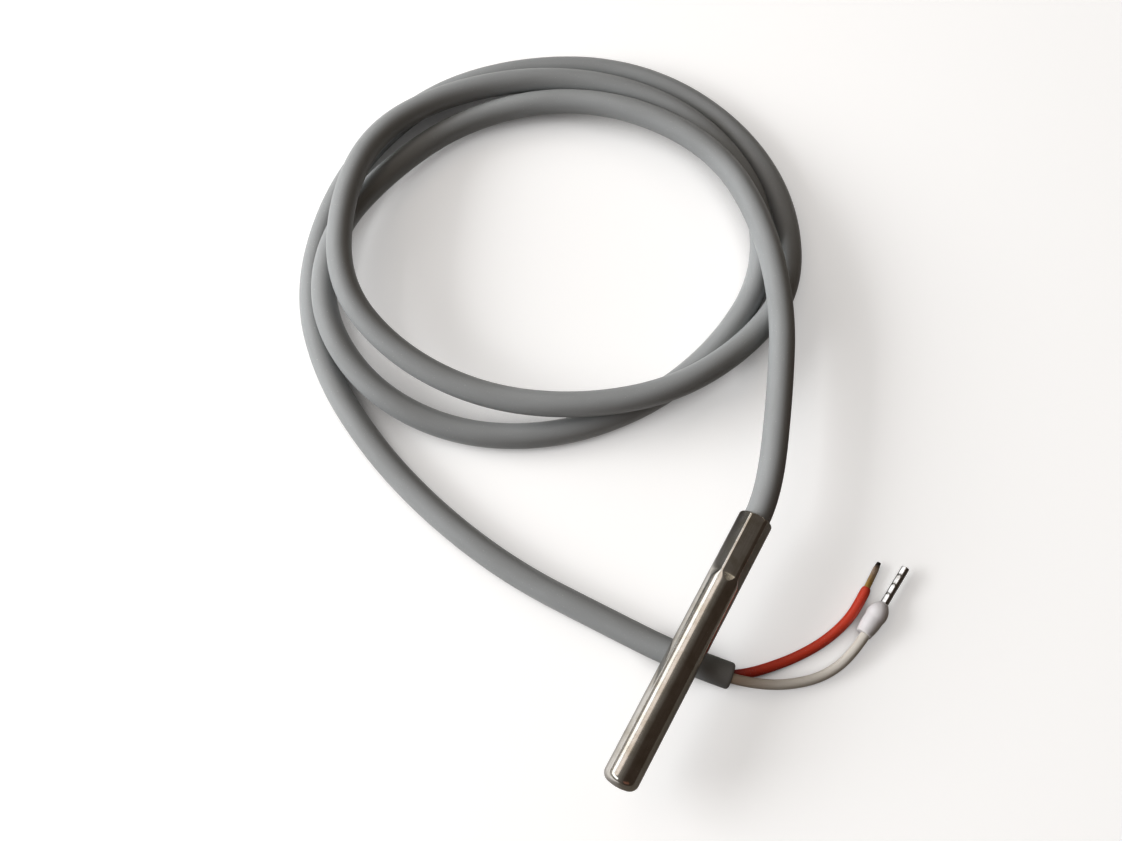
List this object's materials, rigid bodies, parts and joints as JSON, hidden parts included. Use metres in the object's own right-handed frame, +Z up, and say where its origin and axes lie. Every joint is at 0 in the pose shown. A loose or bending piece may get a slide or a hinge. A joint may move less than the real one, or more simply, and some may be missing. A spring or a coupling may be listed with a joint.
{
  "type": "temperature probe",
  "caption": "Cable temperature probe: a closed round steel sheath crimped onto a grey cable that lies in loose turns, with one core ending in bare wire and one in a ferrule.",
  "frame": {"origin": "on the sheath's axis, where the round wall begins behind the rounded tip", "axes": "+Y back along the sheath's axis to the crimp and the cable, +Z up from the table that the cable lies on, +X to the side where the cable's free end comes out from under the sheath"},
  "size_m": [0.1274, 0.1241, 0.013],
  "materials": {
    "steel": "polished stainless steel with fine lengthwise drawing marks",
    "jacket_grey": "satin grey silicone rubber",
    "core_red": "satin red silicone rubber",
    "core_white": "satin off-white silicone rubber",
    "strands": "tinned copper strands, twisted and dulled",
    "collar_white": "moulded white plastic",
    "tinned": "tinned copper tube with crimp marks",
    "sleeve_amber": "thin amber insulating film",
    "ceramic": "white fired ceramic",
    "bead_glass": "opaque fired glass",
    "compound": "set white heat-conducting compound"
  },
  "bodies": {
    "root": {"sheath": "steel", "cable_jacket": "jacket_grey", "red_core": "core_red", "white_core": "core_white", "red_wire_end": "strands", "ferrule_collar": "collar_white", "ferrule_tube": "tinned", "ferrule_wire": "strands", "red_core_inside": "core_red", "white_core_inside": "core_white", "red_wire_inside": "strands", "white_wire_inside": "strands", "red_splice": "tinned", "white_splice": "tinned", "red_splice_sleeve": "sleeve_amber", "white_splice_sleeve": "sleeve_amber", "red_lead": "tinned", "white_lead": "tinned", "element_chip": "ceramic", "element_bead": "bead_glass", "liner_tube": "sleeve_amber", "tip_filling": "compound"}
  },
  "joints": []
}
